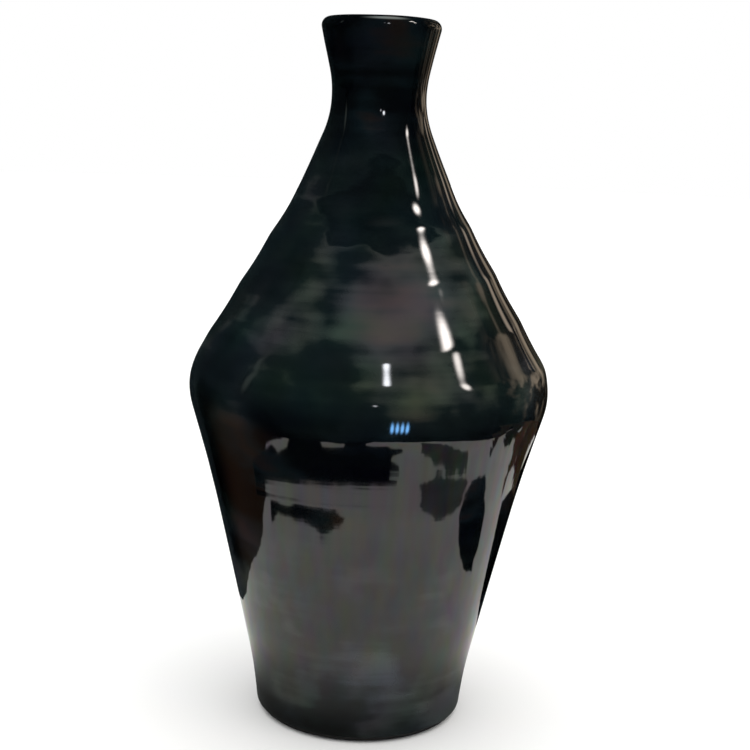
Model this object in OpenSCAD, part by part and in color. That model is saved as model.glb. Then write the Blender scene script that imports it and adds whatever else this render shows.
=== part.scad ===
// Bottle-shaped pot of black clay: a body built by hand from five clay sections, luted one on the
// other, with a thin gloss coat outside and a liner coat inside. Millimetres, +Z up. The origin is
// the middle of the ring that the pot stands on.
//
// The outline is a chain of straight runs. Each run meets the next at a corner, which is given as a
// radius and a height and is rounded by an arc of its own. Every other surface is the same chain set
// inwards, so the clay, the coats and the seams between the sections all follow the outline.

/* [Foot] */
// Radius of the corner between the underside and the wall
foot_r = 45; // [40:0.5:50]
// Rounding of that corner
foot_round = 5; // [4:0.5:7]
// Height of the upright run above the foot
foot_h = 19; // [18:0.5:30]
// Radius at the top of the upright run
heel_r = 47; // [45:0.5:50]
// Rounding where the upright run turns into the lower wall
heel_round = 200; // [40:10:220]

/* [Belly] */
// Radius of the corner at the widest place
belly_r = 79.5; // [66:0.5:96]
// Height of the widest place above the ground
belly_h = 149.5; // [124:0.5:180]
// Rounding of the belly's edge
belly_round = 28.5; // [12:0.5:40]
// How far the knee, where the lower wall starts to flare, lies inside the widest place
knee_in = 10; // [6:0.5:13]
// How far the knee lies below the widest place
knee_drop = 32.5; // [26:0.5:50]
// Rounding of the knee
knee_round = 180; // [60:10:300]

/* [Shoulder and neck] */
// Height of the shoulder, from the widest place to the root of the neck
shoulder_h = 77.5; // [62:0.5:100]
// Radius at the root of the neck
root_r = 33.7; // [28:0.1:42]
// Rounding at the root of the neck
root_round = 123; // [40:1:160]
// Height from the root of the neck to its waist
neck_h = 38; // [31:0.5:50]
// Radius of the corner at the waist
waist_r = 17.8; // [15:0.1:22]
// Rounding of the waist
waist_round = 43; // [20:1:52]
// Height from the waist to the top of the lip
mouth_h = 35; // [29:0.5:46]
// Radius of the corner at the lip's outer edge
lip_r = 25.8; // [24:0.1:31]
// Rounding of the lip's outer edge
lip_round = 3.7; // [2:0.1:4]
// Rounding of the lip's inner edge
lip_inner_round = 2.2; // [1:0.1:2.6]

/* [Clay] */
// Thickness of the lower wall and of the belly
wall = 6; // [4:0.1:7.5]
// Thickness of the neck; the shoulder thins to it on the way up
neck_wall = 5; // [3.5:0.1:6.5]
// Thickness at the lip; the mouth thickens to it on the way up
mouth_wall = 6.5; // [6:0.1:8]
// Thickness of the floor
floor_t = 8; // [6:0.1:9.5]
// Rounding between the floor and the wall, inside
floor_round = 12; // [8:0.5:16]
// Width of the ring that the pot stands on
ring_w = 7; // [4:0.5:12]
// How far the underside is hollowed inside the ring
hollow_h = 1.5; // [0.5:0.1:2.5]
// Width of the slope between the ring and the hollow
hollow_slope = 4; // [1:0.5:8]

/* [Seams] */
// Height of the seam between the base and the lower wall, at the outer face
base_seam = 6; // [5.5:0.1:8]
// How far the belly's seam lies below the widest place
belly_seam_drop = 4; // [0:0.5:10]
// How far the neck's seam lies above the root of the neck
neck_seam_rise = 6; // [0:0.5:12]
// How far the lip's seam lies below the top of the lip
lip_seam_drop = 11; // [10:0.5:16]
// How much higher each seam is at the inner face than at the outer face
seam_rise = 4; // [3:0.5:6]

/* [Coats] */
// Thickness of both coats
coat = 0.4; // [0.2:0.05:0.8]
// Height of the outer coat's lower edge above the ground
coat_line = 3; // [2:0.1:5]
// Depth in the mouth where the outer coat meets the liner
coat_turn = 14; // [12:0.5:22]

/* [Hidden] */
clay_black = "#23201e";
coat_black = "#0d1416";
liner_black = "#191512";
$fn = 96;
// Turn of one straight step along an arc, in degrees
arc_step = 5;

// The outline's corners and the seams, with heights from the ground up
knee_r = belly_r - knee_in;
knee_z = belly_h - knee_drop;
root_z = belly_h + shoulder_h;
waist_z = root_z + neck_h;
top_z = waist_z + mouth_h;
belly_seam = belly_h - belly_seam_drop;
neck_seam = root_z + neck_seam_rise;
lip_seam = top_z - lip_seam_drop;
coat_turn_z = top_z - coat_turn;

corners = [
    [0, 0],
    [foot_r, 0],
    [heel_r, foot_h],
    [knee_r, knee_z],
    [belly_r, belly_h],
    [root_r, root_z],
    [waist_r, waist_z],
    [lip_r, top_z],
    [0, top_z]
];

// The roundings of a face set in by d: an outward corner gets tighter inwards, a hollow one wider
function outer_rounds(d) = [
    foot_round - d,
    heel_round + d,
    knee_round + d,
    belly_round - d,
    root_round + d,
    waist_round + d,
    lip_round - d
];
function inner_rounds(d) = [
    floor_round - d,
    knee_round + coat + wall + d,
    belly_round - coat - wall - d,
    root_round + coat + neck_wall + d,
    waist_round + coat + neck_wall + d,
    lip_inner_round + d
];

function unit(v) = v / norm(v);
function left_of(v) = [-v[1], v[0]];
function cross2(a, b) = a[0] * b[1] - a[1] * b[0];
function reversed(list) = [for (i = [len(list) - 1 : -1 : 0]) list[i]];

// Direction of the run that starts at corner i
function along(i) = unit(corners[i + 1] - corners[i]);

// Corner i set in by d, measured square to both of its runs
function inset_corner(i, d) =
    let (
        n = unit(left_of(along(i - 1)) + left_of(along(i))),
        lean = n * left_of(along(i))
    )
    corners[i] + n * d / lean;

// The point at height z on the run that starts at corner i, set in by d
function on_run(i, d, z) =
    let (p = corners[i] + left_of(along(i)) * d)
    p + along(i) * (z - p[1]) / along(i)[1];

// Corners of a face that lies d inside the outline
function outer_corners(d) = [
    [0, 0],
    on_run(1, d, 0),
    for (i = [2 : 6]) inset_corner(i, d),
    on_run(6, d, top_z - d),
    [0, top_z - d]
];

// Corners of a face that lies d inside the clay's inner face. The lower wall goes straight down to
// the floor, so the clay is thicker above the foot.
function inner_corners(d) = [
    [0, floor_t + d],
    on_run(2, coat + wall + d, floor_t + d),
    inset_corner(3, coat + wall + d),
    inset_corner(4, coat + wall + d),
    inset_corner(5, coat + neck_wall + d),
    inset_corner(6, coat + neck_wall + d),
    on_run(6, coat + mouth_wall + d, top_z - coat + d),
    [lip_r, top_z - coat + d]
];

// Points of the arc of radius r that rounds corner p between its neighbours a and b
function arc(a, p, b, r) =
    let (
        u = unit(p - a),
        v = unit(b - p),
        bend = atan2(cross2(u, v), u * v),
        start = p - u * r * tan(abs(bend) / 2),
        spoke = -left_of(u) * r * sign(bend),
        steps = max(1, ceil(abs(bend) / arc_step))
    )
    [
        for (k = [0 : steps])
            let (t = bend * k / steps)
            start - spoke + [
                spoke[0] * cos(t) - spoke[1] * sin(t),
                spoke[0] * sin(t) + spoke[1] * cos(t)
            ]
    ];

// A face's path: from its start on the axis, round each corner, to the end of the arc on the lip
function path(points, rounds) = [
    points[0],
    for (i = [1 : len(rounds)]) each arc(points[i - 1], points[i], points[i + 1], rounds[i - 1])
];

coat_face = path(outer_corners(0), outer_rounds(0));
clay_face = path(outer_corners(coat), outer_rounds(coat));
clay_inside = path(inner_corners(0), inner_rounds(0));
coat_inside = path(inner_corners(coat), inner_rounds(coat));

// The stretch of a path above, below or between heights, with a point cut at each height
function at(path, z) = [lookup(z, [for (p = path) [p[1], p[0]]]), z];
function above(path, z) = [at(path, z), for (p = path) if (p[1] > z) p];
function below(path, z) = [for (p = path) if (p[1] < z) p, at(path, z)];
function between(path, z0, z1) = [
    at(path, z0),
    for (p = path) if (p[1] > z0 && p[1] < z1) p,
    at(path, z1)
];

// A ring of wall between two seams. Both seams slope up inwards, so each section keys onto the next.
module section(z0, z1) {
    rotate_extrude()
        polygon(concat(
            between(clay_face, z0, z1),
            reversed(between(clay_inside, z0 + seam_rise, z1 + seam_rise))
        ));
}

// The slab that the pot stands on: a ring round a hollowed underside, and the start of the wall
module base_disc() {
    foot = below(clay_face, base_seam);
    ring_r = foot[1][0] - ring_w;
    color(clay_black)
        rotate_extrude()
            polygon(concat(
                [[0, hollow_h], [ring_r - hollow_slope, hollow_h], [ring_r, 0]],
                [for (i = [1 : len(foot) - 1]) foot[i]],
                reversed(below(clay_inside, base_seam + seam_rise))
            ));
}

// The wall from the base to the belly
module lower_wall() {
    color(clay_black)
        section(base_seam, belly_seam);
}

// The cone from the belly to the root of the neck
module shoulder_wall() {
    color(clay_black)
        section(belly_seam, neck_seam);
}

// The waisted neck
module neck() {
    color(clay_black)
        section(neck_seam, lip_seam);
}

// The coil that makes the lip
module lip_ring() {
    color(clay_black)
        rotate_extrude()
            polygon(concat(
                above(clay_face, lip_seam),
                reversed(above(clay_inside, lip_seam + seam_rise))
            ));
}

// The gloss coat: from just above the foot, over the lip and a little way down the mouth
module outer_coat() {
    color(coat_black)
        rotate_extrude()
            polygon(concat(
                above(coat_face, coat_line),
                reversed(above(coat_inside, coat_turn_z)),
                above(clay_inside, coat_turn_z),
                reversed(above(clay_face, coat_line))
            ));
}

// The liner: over the floor and up the inside to the end of the gloss coat
module liner_coat() {
    color(liner_black)
        rotate_extrude()
            polygon(concat(
                below(clay_inside, coat_turn_z),
                reversed(below(coat_inside, coat_turn_z))
            ));
}

base_disc();
lower_wall();
shoulder_wall();
neck();
lip_ring();
outer_coat();
liner_coat();
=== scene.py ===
import math

import bpy
import numpy as np
from mathutils import Matrix, Vector


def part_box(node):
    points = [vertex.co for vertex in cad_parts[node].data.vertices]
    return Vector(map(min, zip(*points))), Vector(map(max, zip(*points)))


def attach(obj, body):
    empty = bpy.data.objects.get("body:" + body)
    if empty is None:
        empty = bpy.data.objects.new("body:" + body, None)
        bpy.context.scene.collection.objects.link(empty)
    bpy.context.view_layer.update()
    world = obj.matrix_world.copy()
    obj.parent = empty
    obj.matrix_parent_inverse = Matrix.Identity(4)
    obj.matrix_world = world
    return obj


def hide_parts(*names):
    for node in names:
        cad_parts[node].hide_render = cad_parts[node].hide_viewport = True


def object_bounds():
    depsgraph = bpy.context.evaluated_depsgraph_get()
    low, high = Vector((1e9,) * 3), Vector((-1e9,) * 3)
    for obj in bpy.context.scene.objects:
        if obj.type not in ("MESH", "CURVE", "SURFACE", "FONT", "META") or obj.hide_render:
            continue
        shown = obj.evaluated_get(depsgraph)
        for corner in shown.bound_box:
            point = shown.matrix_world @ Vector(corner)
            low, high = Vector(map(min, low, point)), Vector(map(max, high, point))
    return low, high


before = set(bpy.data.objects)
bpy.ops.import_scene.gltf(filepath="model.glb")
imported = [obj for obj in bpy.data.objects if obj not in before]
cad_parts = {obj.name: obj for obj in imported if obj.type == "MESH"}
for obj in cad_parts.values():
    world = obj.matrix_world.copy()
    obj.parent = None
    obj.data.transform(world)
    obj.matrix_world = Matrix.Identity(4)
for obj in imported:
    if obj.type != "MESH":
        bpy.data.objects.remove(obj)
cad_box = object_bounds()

# ---------------------------------------------------------------------------------------------------
# The clay body: five sections of black clay, raised by hand on a slow turntable and luted one on the
# other with slip. The hand leaves finger grooves, shallow dents and a lip that is not quite level,
# and a scraper smooths the lower wall. Only a line of bare clay shows, at the foot.
# ---------------------------------------------------------------------------------------------------

MM = 0.001
CLAY_PIECES = ("base_disc", "lower_wall", "shoulder_wall", "neck", "lip_ring")
CLAY_ROUND = 120                # faces round a clay section
CLAY_STEP = 2.5 * MM            # longest face up a clay section
CORNER_TURN = 25                # an outline turns by less than this, in degrees, along an arc
LEAST_TURN = 0.3                # and by less than this where it runs straight
SAME_PLACE = 0.001 * MM         # points and heights closer than this are the same

top = cad_box[1][2]
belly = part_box("lower_wall")[1].z           # where the wall is widest
neck_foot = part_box("neck")[0].z
HAND = {                        # the marks of the hand, in metres
    "Ring height": 20.5 * MM,   # from one finger groove to the next
    "Ring start": 0.17,         # how many grooves up the first one begins
    "Ring wander": 130 * MM,    # how far round the wall a groove runs before it drifts
    "Ring drift": 0.9,          # and by how many grooves it may drift
    "Ring depth": 0.25 * MM,
    "Ridge softness": 0.03,     # how round the ridge between two grooves is
    "Dent size": 36 * MM,
    "Dent depth": 0.16 * MM,
    "Scraped from": belly + 8.5 * MM,       # the scraper starts just above the belly, and from
    "Scraped fully": belly - 8.9 * MM,      # here down it leaves little of the marks above
    "Marks left": 0.02,
    "Collared from": neck_foot - 18.8 * MM, # the neck is squeezed in with both hands, which from
    "Collared fully": neck_foot + 5 * MM,   # here up smooths most of the grooves out
    "Rings smoothed": 0.8,
    "Scrape height": 4.5 * MM,  # the scraper's own short flat strokes
    "Scrape length": 10 * MM,
    "Scrape depth": 0.004 * MM,
    "Swell height": belly - 28.5 * MM,      # the wall swells where the scraper turned at the knee
    "Swell reach": 28 * MM,
    "Swell": 0.4 * MM,
    "Foot zone": 14 * MM,       # the foot is pressed flat and round: the marks start above it
    "Top": top,
    "Lip zone": 20 * MM,        # how far down from the top the lip's unevenness reaches
    "Lip wave": 0.9 * MM,
    "Seed": 4.0,                # picked out of six that were tried
}


def cad_outline(name):
    """A CAD piece's outline as (radius, height) points in order, and whether it closes. Each piece
    is turned about Z, and each of its rings has a point at +X with an edge to the next ring's."""
    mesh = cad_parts[name].data
    spots = {
        v.index: (round(v.co.x, 6), round(v.co.z, 6))
        for v in mesh.vertices
        if abs(v.co.y) < SAME_PLACE and v.co.x > 0
    }
    beside = {spot: set() for spot in spots.values()}
    for edge in mesh.edges:
        a, b = (spots.get(i) for i in edge.vertices)
        if a and b and a != b:
            beside[a].add(b)
            beside[b].add(a)
    # A level face has no such edge: its two rings lie at one height, or it ends on the axis
    ends = sorted((spot for spot in beside if len(beside[spot]) == 1), key=lambda s: (s[1], s[0]))
    on_axis = []
    while ends:
        a = ends.pop(0)
        if ends and abs(ends[0][1] - a[1]) < SAME_PLACE:
            b = ends.pop(0)
        else:
            b = (0.0, a[1])
            beside[b] = set()
            on_axis.append(b)
        beside[a].add(b)
        beside[b].add(a)
    low = min(spot[1] for spot in beside)
    if on_axis:
        first = min(on_axis, key=lambda s: s[1])
    else:
        first = max(spot for spot in beside if spot[1] < low + SAME_PLACE)
    path = [first, max(beside[first], key=lambda s: (s[0] >= first[0], s[1]))]
    while True:
        onward = [s for s in beside[path[-1]] if s != path[-2]]
        if not onward or onward[0] == first:
            return np.array(path), not on_axis
        path.append(onward[0])


def follow(path):
    """The length and heading of the run after each point, the heading before it, and the turn."""
    after = np.roll(path, -1, axis=0) - path
    length = np.linalg.norm(after, axis=1)
    heading = after / length[:, None]
    back = np.roll(heading, 1, axis=0)
    return length, heading, back, np.degrees(np.arccos(np.clip((heading * back).sum(1), -1, 1)))


def outline_rows(name, step, hidden_step=None):
    """The rows of faces of a CAD piece: its outline with the arcs made round again between the CAD's
    points. Rows are at most step apart; past the first corner, hidden_step apart if it is given."""
    path, closed = cad_outline(name)
    # The CAD cuts its long straight runs in equal parts: only the points where it turns are kept
    turns_here = follow(path)[3] > LEAST_TURN
    if not closed:
        turns_here[[0, -1]] = True
    path = path[turns_here]
    length, heading, back, turn = follow(path)
    # On an arc the path runs midway between its two chords, and along the straight where it ends
    middle = heading * length[:, None] + back * np.roll(length, 1)[:, None]
    middle /= np.linalg.norm(middle, axis=1)[:, None]
    corner = turn > CORNER_TURN
    if not closed:
        corner[[0, -1]] = True
    rows = []
    spacing = step
    spans = len(path) if closed else len(path) - 1
    for i in range(spans):
        j = (i + 1) % len(path)
        if i and corner[i] and hidden_step:
            spacing = hidden_step
        leave = heading[i] if corner[i] else middle[i]
        arrive = heading[i] if corner[j] else middle[j]
        count = math.ceil(length[i] / spacing)
        for t in np.arange(count) / count:
            rows.append(
                (2 * t**3 - 3 * t**2 + 1) * path[i]
                + (t**3 - 2 * t**2 + t) * length[i] * leave
                + (3 * t**2 - 2 * t**3) * path[j]
                + (t**3 - t**2) * length[i] * arrive
            )
    if not closed:
        rows.append(path[-1])
    return np.array(rows), closed


def linear(hex_colour):
    """An sRGB hex colour as linear RGBA."""
    channels = [int(hex_colour[i : i + 2], 16) / 255 for i in (1, 3, 5)]
    return [c / 12.92 if c <= 0.04045 else ((c + 0.055) / 1.055) ** 2.4 for c in channels] + [1.0]


def add(tree, kind, inputs=(), stops=(), **settings):
    """Adds a node with its settings and links. inputs gives each live socket, by name or by number,
    a value, or a node or socket to link from. stops gives a colour ramp its place: colour pairs."""
    node = tree.nodes.new(kind)
    for key, value in settings.items():
        setattr(node, key, value)
    live = [socket for socket in node.inputs if socket.enabled]
    for key, value in dict(inputs).items():
        socket = live[key] if isinstance(key, int) else next(s for s in live if s.name == key)
        if isinstance(value, bpy.types.Node):
            value = next(s for s in value.outputs if s.enabled)
        if isinstance(value, bpy.types.NodeSocket):
            tree.links.new(value, socket)
        else:
            socket.default_value = value
    for i, (place, colour) in enumerate(dict(stops).items()):
        stop = node.color_ramp.elements[i] if i < 2 else node.color_ramp.elements.new(place)
        stop.position = place
        stop.color = linear(colour)
    return node


turned = bpy.data.node_groups.new("turned_by_hand", "GeometryNodeTree")
turned.interface.new_socket("Outline", in_out="INPUT", socket_type="NodeSocketGeometry")
turned.interface.new_socket("Material", in_out="INPUT", socket_type="NodeSocketMaterial")
for label, default in {"Round": CLAY_ROUND, "Rows": 2, "Closed": 0, **HAND}.items():
    kind = "NodeSocketInt" if isinstance(default, int) else "NodeSocketFloat"
    turned.interface.new_socket(label, in_out="INPUT", socket_type=kind).default_value = default
turned.interface.new_socket("Piece", in_out="OUTPUT", socket_type="NodeSocketGeometry")
given = add(turned, "NodeGroupInput").outputs
here = add(turned, "GeometryNodeInputPosition")

# A grid of faces, one row for each point of the outline, rolled up about Z
columns = add(turned, "ShaderNodeMath", {0: given["Round"], 1: 1}, operation="ADD")
rows = add(turned, "ShaderNodeMath", {0: given["Rows"], 1: given["Closed"]}, operation="ADD")
last_row = add(turned, "ShaderNodeMath", {0: rows, 1: 1}, operation="SUBTRACT")
grid = add(
    turned, "GeometryNodeMeshGrid", {"Size X": 1, "Size Y": 1, "Vertices X": columns, "Vertices Y": rows}
)
place = add(turned, "ShaderNodeSeparateXYZ", {0: here}).outputs
share = add(turned, "ShaderNodeMath", {0: place["Y"], 1: 0.5}, operation="ADD")
row = add(turned, "ShaderNodeMath", {0: share, 1: last_row}, operation="MULTIPLY")
row = add(turned, "ShaderNodeMath", {0: row}, operation="ROUND")
row = add(turned, "ShaderNodeMath", {0: row, 1: given["Rows"]}, operation="MODULO")
angle = add(turned, "ShaderNodeMath", {0: 0.5, 1: place["X"]}, operation="SUBTRACT")
angle = add(turned, "ShaderNodeMath", {0: angle, 1: math.tau}, operation="MULTIPLY")
spot = add(
    turned,
    "GeometryNodeSampleIndex",
    {"Geometry": given["Outline"], "Value": here, "Index": row},
    data_type="FLOAT_VECTOR",
)
rolled = add(turned, "ShaderNodeVectorRotate", {"Vector": spot, "Angle": angle}, rotation_type="Z_AXIS")
shape = add(turned, "GeometryNodeSetPosition", {"Geometry": grid, "Position": rolled})

# Each point is then pushed out from the axis, or in, by what the hand left there
axes = add(turned, "ShaderNodeSeparateXYZ", {0: here}).outputs
flat = add(turned, "ShaderNodeCombineXYZ", {"X": axes["X"], "Y": axes["Y"]})
outward = add(turned, "ShaderNodeVectorMath", {0: flat}, operation="NORMALIZE")

# Four kinds of unevenness: soft noise from -1 to 1, with shapes of these sizes
uneven = {}
for mark, across, tall, detail, seed_step in (
    ("groove drift", "Ring wander", "Ring wander", 1.0, 1),
    ("dents", "Dent size", "Dent size", 1.0, 9),
    ("strokes", "Scrape length", "Scrape height", 1.0, 5),
    ("lip wave", "Dent size", "Dent size", 0.0, 13),
):
    size = add(
        turned, "ShaderNodeCombineXYZ", {"X": given[across], "Y": given[across], "Z": given[tall]}
    )
    scaled = add(turned, "ShaderNodeVectorMath", {0: here, 1: size}, operation="DIVIDE")
    seed = add(turned, "ShaderNodeMath", {0: given["Seed"], 1: seed_step}, operation="ADD")
    noise = add(
        turned,
        "ShaderNodeTexNoise",
        {"Vector": scaled, "W": seed, "Scale": 1.0, "Detail": detail},
        noise_dimensions="4D",
    )
    uneven[mark] = add(turned, "ShaderNodeMath", {0: noise, 1: 2, 2: -1}, operation="MULTIPLY_ADD")

# Finger grooves: scallops up the wall with a ridge between each two. One turn is one groove
turns = add(turned, "ShaderNodeMath", {0: axes["Z"], 1: given["Ring height"]}, operation="DIVIDE")
turns = add(
    turned,
    "ShaderNodeMath",
    {0: uneven["groove drift"], 1: given["Ring drift"], 2: turns},
    operation="MULTIPLY_ADD",
)
turns = add(turned, "ShaderNodeMath", {0: turns, 1: given["Ring start"]}, operation="ADD")
phase = add(turned, "ShaderNodeMath", {0: turns, 1: math.pi}, operation="MULTIPLY")
ring = add(turned, "ShaderNodeMath", {0: phase}, operation="COSINE")
ring = add(
    turned, "ShaderNodeMath", {0: ring, 1: ring, 2: given["Ridge softness"]}, operation="MULTIPLY_ADD"
)
ring = add(turned, "ShaderNodeMath", {0: ring}, operation="SQRT")
ring = add(turned, "ShaderNodeMath", {0: ring, 1: -2, 2: 1}, operation="MULTIPLY_ADD")
collared = add(
    turned,
    "ShaderNodeMapRange",
    {
        "Value": axes["Z"],
        "From Min": given["Collared from"],
        "From Max": given["Collared fully"],
        "To Max": given["Rings smoothed"],
    },
    interpolation_type="SMOOTHSTEP",
)
uncollared = add(turned, "ShaderNodeMath", {0: 1, 1: collared}, operation="SUBTRACT")
ring = add(turned, "ShaderNodeMath", {0: ring, 1: uncollared}, operation="MULTIPLY")
push = add(turned, "ShaderNodeMath", {0: ring, 1: given["Ring depth"]}, operation="MULTIPLY")
push = add(
    turned,
    "ShaderNodeMath",
    {0: uneven["dents"], 1: given["Dent depth"], 2: push},
    operation="MULTIPLY_ADD",
)

# The scraper takes nearly all of that off the lower wall, and leaves its own strokes and the swell
unscraped = add(
    turned,
    "ShaderNodeMapRange",
    {"Value": axes["Z"], "From Min": given["Scraped fully"], "From Max": given["Scraped from"]},
    interpolation_type="SMOOTHSTEP",
)
scraped = add(turned, "ShaderNodeMath", {0: 1, 1: unscraped}, operation="SUBTRACT")
kept = add(
    turned,
    "ShaderNodeMath",
    {0: scraped, 1: given["Marks left"], 2: unscraped},
    operation="MULTIPLY_ADD",
)
push = add(turned, "ShaderNodeMath", {0: push, 1: kept}, operation="MULTIPLY")
strokes = add(turned, "ShaderNodeMath", {0: uneven["strokes"], 1: scraped}, operation="MULTIPLY")
push = add(
    turned, "ShaderNodeMath", {0: strokes, 1: given["Scrape depth"], 2: push}, operation="MULTIPLY_ADD"
)
from_swell = add(turned, "ShaderNodeMath", {0: axes["Z"], 1: given["Swell height"]}, operation="SUBTRACT")
from_swell = add(turned, "ShaderNodeMath", {0: from_swell}, operation="ABSOLUTE")
swell = add(
    turned,
    "ShaderNodeMapRange",
    {"Value": from_swell, "From Min": given["Swell reach"], "From Max": 0.0},
    interpolation_type="SMOOTHSTEP",
)
push = add(turned, "ShaderNodeMath", {0: swell, 1: given["Swell"], 2: push}, operation="MULTIPLY_ADD")
above_foot = add(
    turned,
    "ShaderNodeMapRange",
    {"Value": axes["Z"], "From Min": 0.0, "From Max": given["Foot zone"]},
    interpolation_type="SMOOTHSTEP",
)
push = add(turned, "ShaderNodeMath", {0: push, 1: above_foot}, operation="MULTIPLY")
pushed = add(turned, "ShaderNodeVectorMath", {0: outward, "Scale": push}, operation="SCALE")

# The lip rises and falls a little
lip_start = add(turned, "ShaderNodeMath", {0: given["Top"], 1: given["Lip zone"]}, operation="SUBTRACT")
near_lip = add(
    turned,
    "ShaderNodeMapRange",
    {"Value": axes["Z"], "From Min": lip_start, "From Max": given["Top"]},
    interpolation_type="SMOOTHSTEP",
)
lift = add(turned, "ShaderNodeMath", {0: uneven["lip wave"], 1: near_lip}, operation="MULTIPLY")
lift = add(turned, "ShaderNodeMath", {0: lift, 1: given["Lip wave"]}, operation="MULTIPLY")
lifted = add(turned, "ShaderNodeCombineXYZ", {"Z": lift})
moved = add(turned, "ShaderNodeVectorMath", {0: pushed, 1: lifted}, operation="ADD")

# The seam and the poles are welded, and only real corners stay sharp
shape = add(turned, "GeometryNodeSetPosition", {"Geometry": shape, "Offset": moved})
shape = add(turned, "GeometryNodeMergeByDistance", {"Geometry": shape, "Distance": SAME_PLACE})
shape = add(turned, "GeometryNodeSetShadeSmooth", {"Geometry": shape, "Shade Smooth": True})
bend = add(turned, "GeometryNodeInputMeshEdgeAngle").outputs["Unsigned Angle"]
gentle = add(turned, "FunctionNodeCompare", {0: bend, 1: math.radians(CORNER_TURN)}, operation="LESS_THAN")
shape = add(
    turned, "GeometryNodeSetShadeSmooth", {"Geometry": shape, "Shade Smooth": gentle}, domain="EDGE"
)
shape = add(turned, "GeometryNodeRealizeInstances", {"Geometry": shape})
shape = add(turned, "GeometryNodeSetMaterial", {"Geometry": shape, "Material": given["Material"]})
add(turned, "NodeGroupOutput", {0: shape})


def turn_piece(name, material, faces_round, step, hidden_step=None):
    """Turns a CAD piece's outline into a finished piece that stands for the CAD piece."""
    rows, closed = outline_rows(name, step, hidden_step)
    line = bpy.data.meshes.new(name + "_outline")
    line.from_pydata([(r, 0, z) for r, z in rows], [], [])
    maker = bpy.data.objects.new(name + "_outline", line)
    bpy.context.scene.collection.objects.link(maker)
    modifier = maker.modifiers.new("turned", "NODES")
    modifier.node_group = turned
    asked = {"Round": faces_round, "Rows": len(rows), "Closed": int(closed), "Material": material}
    for socket in turned.interface.items_tree:
        if socket.name in asked:
            modifier[socket.identifier] = asked[socket.name]
    shaped = maker.evaluated_get(bpy.context.evaluated_depsgraph_get())
    mesh = bpy.data.meshes.new_from_object(shaped)
    maker.modifiers.remove(modifier)
    bpy.data.objects.remove(maker)
    piece = bpy.data.objects.new("turned_" + name, mesh)
    bpy.context.scene.collection.objects.link(piece)
    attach(piece, "root")
    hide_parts(name)
    return piece


def new_material(name):
    """An empty material's tree and shader, and a node with the piece's own coordinates."""
    material = bpy.data.materials.new(name)
    material.use_nodes = True
    tree = material.node_tree
    tree.nodes.clear()
    shader = add(tree, "ShaderNodeBsdfPrincipled")
    add(tree, "ShaderNodeOutputMaterial", {"Surface": shader})
    return material, tree, shader, add(tree, "ShaderNodeTexCoord").outputs["Object"]


# Reduction-fired black clay, wiped and scraped at the foot: matt, charcoal grey, with fine rings
# from the scraper and paler grit.
SCRAPER_LINE = (30 * MM, 30 * MM, 0.9 * MM)     # how far it runs round the wall, and its height
GRIT = 0.7 * MM
GRIT_SHARE = 0.4

fired_clay, tree, shader, where = new_material("reduction_fired_black_clay")
lines_at = add(tree, "ShaderNodeVectorMath", {0: where, 1: SCRAPER_LINE}, operation="DIVIDE")
lines = add(tree, "ShaderNodeTexNoise", {"Vector": lines_at, "Scale": 1.0, "Detail": 3.0})
grit = add(tree, "ShaderNodeTexNoise", {"Vector": where, "Scale": 1 / GRIT, "Detail": 2.0})
grain = add(tree, "ShaderNodeMix", {"Factor": GRIT_SHARE, "A": lines, "B": grit})
clay_colour = add(
    tree, "ShaderNodeValToRGB", {"Fac": grain}, stops={0.35: "#141312", 0.55: "#23201d", 0.7: "#3a3530"}
)
tree.links.new(clay_colour.outputs["Color"], shader.inputs["Base Color"])
shader.inputs["Roughness"].default_value = 0.72
shader.inputs["IOR"].default_value = 1.5
gritty = add(tree, "ShaderNodeBump", {"Height": grain, "Distance": 0.15 * MM, "Strength": 0.6})
tree.links.new(gritty.outputs["Normal"], shader.inputs["Normal"])

for name in CLAY_PIECES:
    turn_piece(name, fired_clay, CLAY_ROUND, CLAY_STEP)

# ---------------------------------------------------------------------------------------------------
# The gloss coat: a black glassy coat laid on with a broad brush as the pot turns, and fired to a
# mirror gloss. It is near black where it lies thick, at the neck and below the belly, and clouds to
# teal and grey-brown on the shoulder, where the brush left it thin. It ends just above the ground.
# ---------------------------------------------------------------------------------------------------

COAT_ROUND = 200
COAT_STEP = 0.95 * MM
COAT_HIDDEN_STEP = 12 * MM      # its inner face lies on the clay, out of sight

# A black gloss glaze, brushed on unevenly: a mirror that shows the room, over colours that cloud
# from black to teal and grey-brown with its thickness, with faint purple and green from the fire.
CLOUD = (30 * MM, 30 * MM, 24 * MM)             # clouds of thick and thin coat, a little squat
HAIR = (60 * MM, 60 * MM, 4.5 * MM)             # a brush hair's mark, round the wall and up it
HAIR_SHARE = 0.2
TINT = 26 * MM
TINT_SHARE = 0.4
THIN = {"From Min": belly - 15.5 * MM, "From Max": belly + 8.5 * MM}        # thin from here up,
THICK = {"From Min": neck_foot + 31 * MM, "From Max": neck_foot + 3 * MM}   # and thick again here
WIPED = {"From Min": 105 * MM, "From Max": 50 * MM}     # the last coat was wiped thin at the foot
PAINTED_LIGHT_AT = (10 * MM, -58 * MM, belly + 40.5 * MM)        # painted light: the coat is painted paler round here, at the front of the shoulder, where the light falls
PAINTED_LIGHT = {"From Min": 58 * MM, "From Max": 0.0, "To Max": 0.22}
DRIP_AT = (2 * MM, -36 * MM, neck_foot - 9 * MM)        # a thick patch crept down from the neck
DRIP_RAGGED = 90 * MM                                   # the clouds push its edge in and out
DRIP_REACH = 21 * MM - DRIP_RAGGED / 2
DRIP = {"From Min": DRIP_REACH, "From Max": DRIP_REACH - 4 * MM, "To Max": 0.16}

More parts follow.
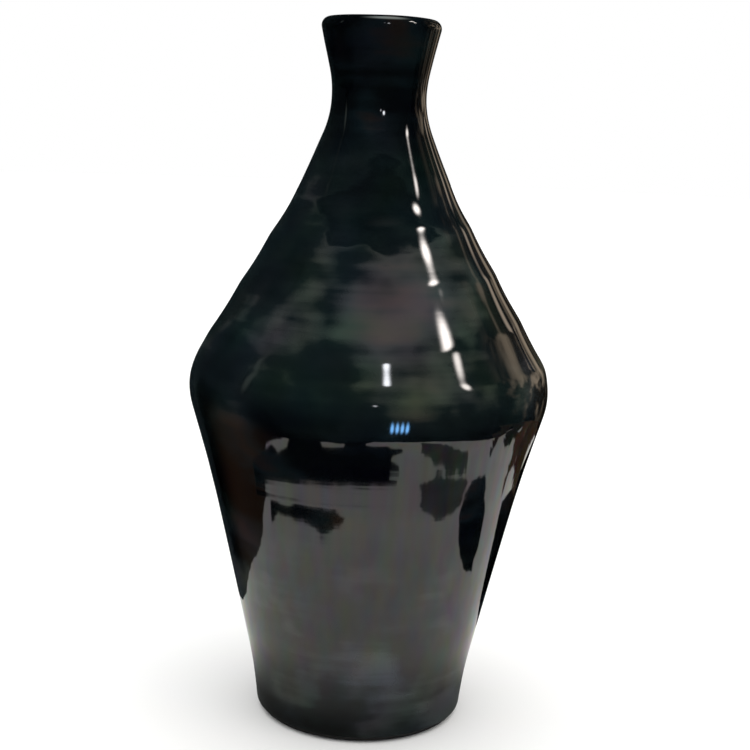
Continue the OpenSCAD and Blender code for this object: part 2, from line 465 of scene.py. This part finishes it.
gloss_coat, tree, shader, where = new_material("black_gloss_glaze")
height = add(tree, "ShaderNodeSeparateXYZ", {0: where}).outputs["Z"]
clouds_at = add(tree, "ShaderNodeVectorMath", {0: where, 1: CLOUD}, operation="DIVIDE")
clouds = add(tree, "ShaderNodeTexNoise", {"Vector": clouds_at, "Scale": 1.0, "Detail": 2.5})
hairs_at = add(tree, "ShaderNodeVectorMath", {0: where, 1: HAIR}, operation="DIVIDE")
hairs = add(tree, "ShaderNodeTexNoise", {"Vector": hairs_at, "Scale": 1.0, "Detail": 2.0})
paint = add(tree, "ShaderNodeMix", {"Factor": HAIR_SHARE, "A": clouds, "B": hairs})

# Painted light: a paler patch of coat at the front of the shoulder stands for where the light falls
from_painted_light = add(tree, "ShaderNodeVectorMath", {0: where, 1: PAINTED_LIGHT_AT}, operation="DISTANCE")
painted_light = add(
    tree,
    "ShaderNodeMapRange",
    {"Value": from_painted_light.outputs["Value"], **PAINTED_LIGHT},
    interpolation_type="SMOOTHSTEP",
)
from_drip = add(tree, "ShaderNodeVectorMath", {0: where, 1: DRIP_AT}, operation="DISTANCE")
ragged = add(
    tree,
    "ShaderNodeMath",
    {0: paint, 1: -DRIP_RAGGED, 2: from_drip.outputs["Value"]},
    operation="MULTIPLY_ADD",
)
dripped = add(tree, "ShaderNodeMapRange", {"Value": ragged, **DRIP}, interpolation_type="SMOOTHSTEP")
paint = add(tree, "ShaderNodeMath", {0: paint, 1: painted_light}, operation="ADD")
paint = add(tree, "ShaderNodeMath", {0: paint, 1: dripped}, operation="SUBTRACT")

thin = add(
    tree,
    "ShaderNodeValToRGB",
    {"Fac": paint},
    stops={0.28: "#060a0c", 0.42: "#0a1113", 0.54: "#111819", 0.66: "#323634", 0.8: "#413e3a"},
)
thick = add(
    tree,
    "ShaderNodeValToRGB",
    {"Fac": paint},
    stops={0.36: "#010104", 0.46: "#030506", 0.56: "#091012", 0.63: "#15100e", 0.72: "#060505"},
)
wiped = add(
    tree, "ShaderNodeValToRGB", {"Fac": paint}, stops={0.4: "#020303", 0.5: "#0c1112", 0.62: "#2c3334"}
)
above_belly, below_neck, at_foot = (
    add(tree, "ShaderNodeMapRange", {"Value": height, **zone}, interpolation_type="SMOOTHSTEP")
    for zone in (THIN, THICK, WIPED)
)
on_shoulder = add(tree, "ShaderNodeMath", {0: above_belly, 1: below_neck}, operation="MULTIPLY")
coat_colour = add(
    tree, "ShaderNodeMix", {"Factor": on_shoulder, "A": thick, "B": thin}, data_type="RGBA"
)
coat_colour = add(
    tree, "ShaderNodeMix", {"Factor": at_foot, "A": coat_colour, "B": wiped}, data_type="RGBA"
)
tints = add(tree, "ShaderNodeTexNoise", {"Vector": where, "Scale": 1 / TINT, "Detail": 1.0})
coat_colour = add(
    tree,
    "ShaderNodeMix",
    {"Factor": TINT_SHARE, "A": coat_colour, "B": tints.outputs["Color"]},
    data_type="RGBA",
    blend_type="SOFT_LIGHT",
)
tree.links.new(coat_colour.outputs[2], shader.inputs["Base Color"])
shader.inputs["Roughness"].default_value = 0.05
shader.inputs["IOR"].default_value = 1.65
brushed = add(tree, "ShaderNodeBump", {"Height": hairs, "Distance": 0.014 * MM, "Strength": 1.0})
tree.links.new(brushed.outputs["Normal"], shader.inputs["Normal"])

turn_piece("outer_coat", gloss_coat, COAT_ROUND, COAT_STEP, COAT_HIDDEN_STEP)

# ---------------------------------------------------------------------------------------------------
# The liner: a thin brown-black coat that was poured in and out again to seal the clay. It meets the
# gloss coat inside the mouth.
# ---------------------------------------------------------------------------------------------------

LINER_ROUND = 120
LINER_STEP = 3 * MM

# A thin poured glaze, brown-black and half dull: it ran down the wall in stripes.
RUN = (6 * MM, 6 * MM, 40 * MM)

liner_glaze, tree, shader, where = new_material("poured_liner_glaze")
runs_at = add(tree, "ShaderNodeVectorMath", {0: where, 1: RUN}, operation="DIVIDE")
runs = add(tree, "ShaderNodeTexNoise", {"Vector": runs_at, "Scale": 1.0, "Detail": 3.0})
liner_colour = add(
    tree, "ShaderNodeValToRGB", {"Fac": runs}, stops={0.3: "#0b0908", 0.55: "#1a1511", 0.75: "#2a211a"}
)
tree.links.new(liner_colour.outputs["Color"], shader.inputs["Base Color"])
shader.inputs["Roughness"].default_value = 0.28
shader.inputs["IOR"].default_value = 1.5

turn_piece("liner_coat", liner_glaze, LINER_ROUND, LINER_STEP)

# ---------------------------------------------------------------------------------------------------
# The studio: a plain pale floor and soft lights, and what only the gloss coat mirrors: a small pale
# table top with dark and brown sheets of paper on it, and glowing cards, in a dark room. The sheets'
# corners are another program's numbers, rounded and nudged: they put each one's mirror image in place.
# ---------------------------------------------------------------------------------------------------

FLOOR_R = 4.0
PAPER_MOTTLE = 24 * MM
FLOOR_MOTTLE = 0.08
SHADOW = {"From Min": 52 * MM, "From Max": 94 * MM}     # painted round the pot on mirrored sheets
SHADOW_COLOUR = "#5c5d5b"


def only_mirrored(thing):
    """The camera and the matt clay don't see the thing, and it casts no shadow."""
    thing.visible_camera = False
    thing.visible_diffuse = False
    thing.visible_shadow = False


def paper_sheet(name, corners, z, colour, mirrored=True):
    """A flat sheet of matt paper with these (x, y) corners. A mirrored one shows in the gloss coat
    only; the other kind shows everywhere else."""
    mesh = bpy.data.meshes.new(name)
    mesh.from_pydata([(x, y, z) for x, y in corners], [], [tuple(range(len(corners)))])
    sheet = bpy.data.objects.new(name, mesh)
    bpy.context.scene.collection.objects.link(sheet)
    paper, tree, shader, where = new_material("matt_" + name)
    mottle = add(tree, "ShaderNodeTexNoise", {"Vector": where, "Scale": 1 / PAPER_MOTTLE, "Detail": 4.0})
    tint = add(
        tree,
        "ShaderNodeMix",
        {"Factor": 1.0 if mirrored else FLOOR_MOTTLE, "A": linear(colour), "B": mottle.outputs["Color"]},
        data_type="RGBA",
        blend_type="SOFT_LIGHT",
    )
    if mirrored:
        off = add(tree, "ShaderNodeVectorMath", {0: where}, operation="LENGTH").outputs["Value"]
        lit = add(
            tree, "ShaderNodeMapRange", {"Value": off, **SHADOW}, interpolation_type="SMOOTHSTEP"
        )
        tint = add(
            tree,
            "ShaderNodeMix",
            {"Factor": lit, "A": linear(SHADOW_COLOUR), "B": tint},
            data_type="RGBA",
        )
        only_mirrored(sheet)
    tree.links.new(tint.outputs[2], shader.inputs["Base Color"])
    shader.inputs["Roughness"].default_value = 0.85
    shader.inputs["Specular IOR Level"].default_value = 0.0
    mesh.materials.append(paper)
    sheet.visible_glossy = mirrored


def around(places):
    """Corners about the pot from (azimuth, mm out) pairs. Azimuth 0 faces the camera, 90 its right."""
    return [
        (out * MM * math.sin(math.radians(azimuth)), -out * MM * math.cos(math.radians(azimuth)))
        for azimuth, out in places
    ]


floor_edge = around((azimuth, FLOOR_R / MM) for azimuth in range(0, 360, 3))
paper_sheet("floor", floor_edge, 0.0, "#f6f5f3", mirrored=False)

FRAY = 5 * MM                   # a frayed edge has a corner at least this often
FRAY_SEED = 5


def frayed(places, amount):
    """Corners as around() gives, with more between them, each pushed to and fro by this much."""
    shake = np.random.default_rng(FRAY_SEED)
    corners = around(places)
    run = []
    for start, end in zip(corners, corners[1:] + corners[:1]):
        steps = math.ceil(math.dist(start, end) / FRAY)
        for t in np.arange(steps) / steps:
            x, y = np.array(start) + t * (np.array(end) - np.array(start))
            run.append((x + shake.uniform(-amount, amount), y + shake.uniform(-amount, amount)))
    return run


table_edge = [
    (-64, 226), (-66, 214), (-69, 200), (-72, 193), (-77, 178), (-82, 166), (-96, 156), (-105, 145),
    (-112, 134), (-124, 130), (-150, 150), (165, 150), (140, 110), (124, 140), (122, 165), (120, 200),
    (117, 240), (125, 262), (136, 300), (150, 430), (110, 430), (96, 330), (84, 262), (60, 246),
    (40, 250), (18, 245), (4, 240), (-2, 214), (-13, 216), (-24, 222), (-40, 222), (-50, 230),
    (-58, 226),
]
paper_sheet("table_top", frayed(table_edge, 1.0 * MM), 0.2 * MM, "#dedbd6")
dark_mat = [
    (-78, 205), (-66, 198), (-60, 195), (-52, 191), (-41, 187), (-35, 185.5), (-29, 183.5), (-19, 182),
    (-9, 181.4), (5, 181.4), (14, 182), (20, 184), (20, 186), (15, 187), (15, 188.5), (21, 190), (20, 193),
    (15, 196), (16, 200), (22, 206), (21, 211), (15, 210), (12, 214), (4, 212), (0, 214), (-1, 236),
    (-11, 236), (-13, 209), (-19, 208), (-26, 210), (-28, 230), (-46, 232), (-49, 214), (-56, 212),
    (-60, 222), (-78, 220),
]
paper_sheet("dark_mat", frayed(dark_mat, 0.2 * MM), 0.4 * MM, "#05070c")
scrap = [
    (-66, 193), (-60, 189), (-53, 183), (-46, 184), (-41, 182), (-29, 178), (-19, 175), (-12, 170),
    (-15, 167), (-19, 166), (-27, 163), (-33, 167), (-41, 172), (-46, 173), (-52, 176), (-60, 181),
    (-67, 178),
]
paper_sheet("scrap", frayed(scrap, 0.5 * MM), 0.5 * MM, "#05080a")
smudge = [(32, 238), (48, 226), (65, 224), (68, 210), (58, 203), (42, 201), (33, 208)]
paper_sheet("smudge", frayed(smudge, 2 * MM), 0.5 * MM, "#62635f")
stain = [(34, 186), (46, 198), (57, 200), (68, 207), (71, 204), (66, 191), (50, 177), (37, 182)]
paper_sheet("stain", frayed(stain, 1 * MM), 0.5 * MM, "#646662")
for start, end, near, colour in (
    (86, 90, 232, "#3a3028"),
    (97, 107, 262, "#2c2a24"),
    (113, 117, 240, "#54402f"),
    (121, 140, 275, "#3c2e24"),
):
    strip = [(start, near), (start - 4, 300), (start + 3, 350), (start - 1, 440)]
    strip += [(end + 9, 440), (end - 2, 350), (end + 3, 300), (end - 2, near + 16)]
    paper_sheet("brown_strip", frayed(strip, 7 * MM), 0.5 * MM, colour)
dark_cloth = [
    (80, 216), (75, 209), (70, 198), (68, 186), (72, 174), (76, 163), (80, 158), (86, 153), (94, 156),
    (93, 166), (96, 178), (95, 205), (90, 215), (86, 222),
]
paper_sheet("dark_cloth", frayed(dark_cloth, 1 * MM), 0.6 * MM, "#0c1314")


def face_pot(thing, azimuth, elevation, distance):
    """Places a light or a card this far from the belly, turned to face it."""
    az, el = math.radians(azimuth), math.radians(elevation)
    way = Vector((math.sin(az) * math.cos(el), -math.cos(az) * math.cos(el), math.sin(el)))
    thing.location = Vector((0, 0, top / 2)) + way * distance
    thing.rotation_euler = way.to_track_quat("Z", "Y").to_euler()
    bpy.context.scene.collection.objects.link(thing)


CARD_OUT = 1.5                  # metres from the pot to a card
CARD_FADE = {"From Min": 1.0, "From Max": 0.2}  # from its edge to its bright middle
CARD_FALLOFF = 2.5
FOLD = (0.35, 0.35, 0.9)        # a curtain's fold, in metres across and down
FOLDS = {"From Min": 0.46, "From Max": 0.66, "To Min": 0.04}    # dark and bright folds


def glow_card(name, azimuth, elevation, wide, tall, colour, core, out=CARD_OUT, striped=False):
    """A glowing card, wide by tall in degrees as the pot sees it, that only the gloss coat mirrors.
    It is bright in the middle and fades to its edges; a striped one is also broken into soft bright and
    dark patches."""
    half = [out * math.tan(math.radians(a / 2)) for a in (wide, tall)]
    mesh = bpy.data.meshes.new(name)
    corners = [(half[0] * x, half[1] * y, 0) for x, y in ((-1, -1), (1, -1), (1, 1), (-1, 1))]
    mesh.from_pydata(corners, [], [(0, 1, 2, 3)])
    card = bpy.data.objects.new(name, mesh)
    face_pot(card, azimuth, elevation, out)
    only_mirrored(card)
    material = bpy.data.materials.new("glow_" + name)
    material.use_nodes = True
    tree = material.node_tree
    tree.nodes.clear()
    where = add(tree, "ShaderNodeTexCoord").outputs["Object"]
    share = add(tree, "ShaderNodeVectorMath", {0: where, 1: (*half, 1)}, operation="DIVIDE")
    aside = add(tree, "ShaderNodeVectorMath", {0: share}, operation="LENGTH").outputs["Value"]
    fade = add(tree, "ShaderNodeMapRange", {"Value": aside, **CARD_FADE}, interpolation_type="SMOOTHSTEP")
    fade = add(tree, "ShaderNodeMath", {0: fade, 1: CARD_FALLOFF}, operation="POWER")
    if striped:
        folds_at = add(tree, "ShaderNodeVectorMath", {0: where, 1: FOLD}, operation="DIVIDE")
        folds = add(tree, "ShaderNodeTexNoise", {"Vector": folds_at, "Scale": 1.0, "Detail": 2.0})
        bright = add(
            tree, "ShaderNodeMapRange", {"Value": folds, **FOLDS}, interpolation_type="SMOOTHSTEP"
        )
        fade = add(tree, "ShaderNodeMath", {0: fade, 1: bright}, operation="MULTIPLY")
    power = add(tree, "ShaderNodeMath", {0: fade, 1: core}, operation="MULTIPLY")
    glow = add(tree, "ShaderNodeEmission", {"Color": linear(colour), "Strength": power})
    add(tree, "ShaderNodeOutputMaterial", {"Surface": glow})
    mesh.materials.append(material)


# Each card's place, size, colour and strength put a glint or a tint where it is wanted on the coat,
# as the fixed camera sees it. The names say what it stands in for: a room that was never measured
glow_card("window", 70, 45, 16, 10, "#fff6f0", 20)
glow_card("window_sill", 71, 34, 10, 14, "#fff6f0", 14)
glow_card("desk_lamp", 12, 38.4, 7, 6, "#f6f8ff", 18, out=0.306)
glow_card("lamp_base", 5, 21, 5, 5, "#f6f8ff", 6)
for pane in (-4.2, -1.4, 1.4, 4.2):
    glow_card("screen", 18 + pane, -15.5, 3.4, 20, "#78bcff", 16, out=0.36)
glow_card("doorway", -84, 22, 9, 40, "#c8d6cc", 0.4)
glow_card("cupboard", -100, -40, 80, 80, "#a87c58", 0.16)
glow_card("curtain", 130, 12, 90, 90, "#ccb8a0", 1.5, striped=True)
glow_card("porch", 134, 16, 10, 18, "#ffe8d0", 1.4)
glow_card("ceiling", 60, 84, 66, 66, "#f4fff8", 2.5)

sun = bpy.data.objects.new("overhead", bpy.data.lights.new("overhead", "SUN"))
sun.data.energy = 2.5
sun.data.angle = math.radians(100)
bpy.context.scene.collection.objects.link(sun)
softbox = bpy.data.objects.new("softbox", bpy.data.lights.new("softbox", "AREA"))
softbox.data.size = 1.2
softbox.data.energy = 5
softbox.data.color = linear("#fffaf2")[:3]
face_pot(softbox, 58, 38, 2.2)
for light in (sun, softbox):
    light.visible_glossy = False

world = bpy.data.worlds.new("soft_room")
bpy.context.scene.world = world
world.use_nodes = True
tree = world.node_tree
tree.nodes.clear()
ray = add(tree, "ShaderNodeLightPath").outputs
backdrop = add(tree, "ShaderNodeBackground", {"Color": linear("#ffffff"), "Strength": 1.0})
dark_room = add(tree, "ShaderNodeBackground", {"Color": linear("#171d1f"), "Strength": 1.0})
fill = add(tree, "ShaderNodeBackground", {"Color": linear("#fbfdff"), "Strength": 0.6})
bounced = add(tree, "ShaderNodeMixShader", {0: ray["Is Glossy Ray"], 1: fill, 2: dark_room})
seen = add(tree, "ShaderNodeMixShader", {0: ray["Is Camera Ray"], 1: bounced, 2: backdrop})
add(tree, "ShaderNodeOutputWorld", {"Surface": seen})

CAMERA_OUT = 2.004              # in pot heights
CAMERA_UP = 0.891
LENS = 1.8884                   # in frame widths
ROLL = 2.12                     # the camera is held a little askew
ASIDE = 2.5 * MM                # the pot stands a little left of the middle

camera_data = bpy.data.cameras.new("camera")
camera_data.sensor_width = 36
camera_data.lens = 36 * LENS
camera = bpy.data.objects.new("camera", camera_data)
bpy.context.scene.collection.objects.link(camera)
bpy.context.scene.camera = camera
eye = Vector((ASIDE, -CAMERA_OUT * top, CAMERA_UP * top))
aim = Vector((ASIDE, 0, top / 2))
camera.matrix_world = (
    Matrix.Translation(eye)
    @ (eye - aim).to_track_quat("Z", "Y").to_matrix().to_4x4()
    @ Matrix.Rotation(math.radians(ROLL), 4, "Z")
)

bpy.context.scene.view_settings.view_transform = "Standard"
bpy.context.scene.view_settings.look = "None"
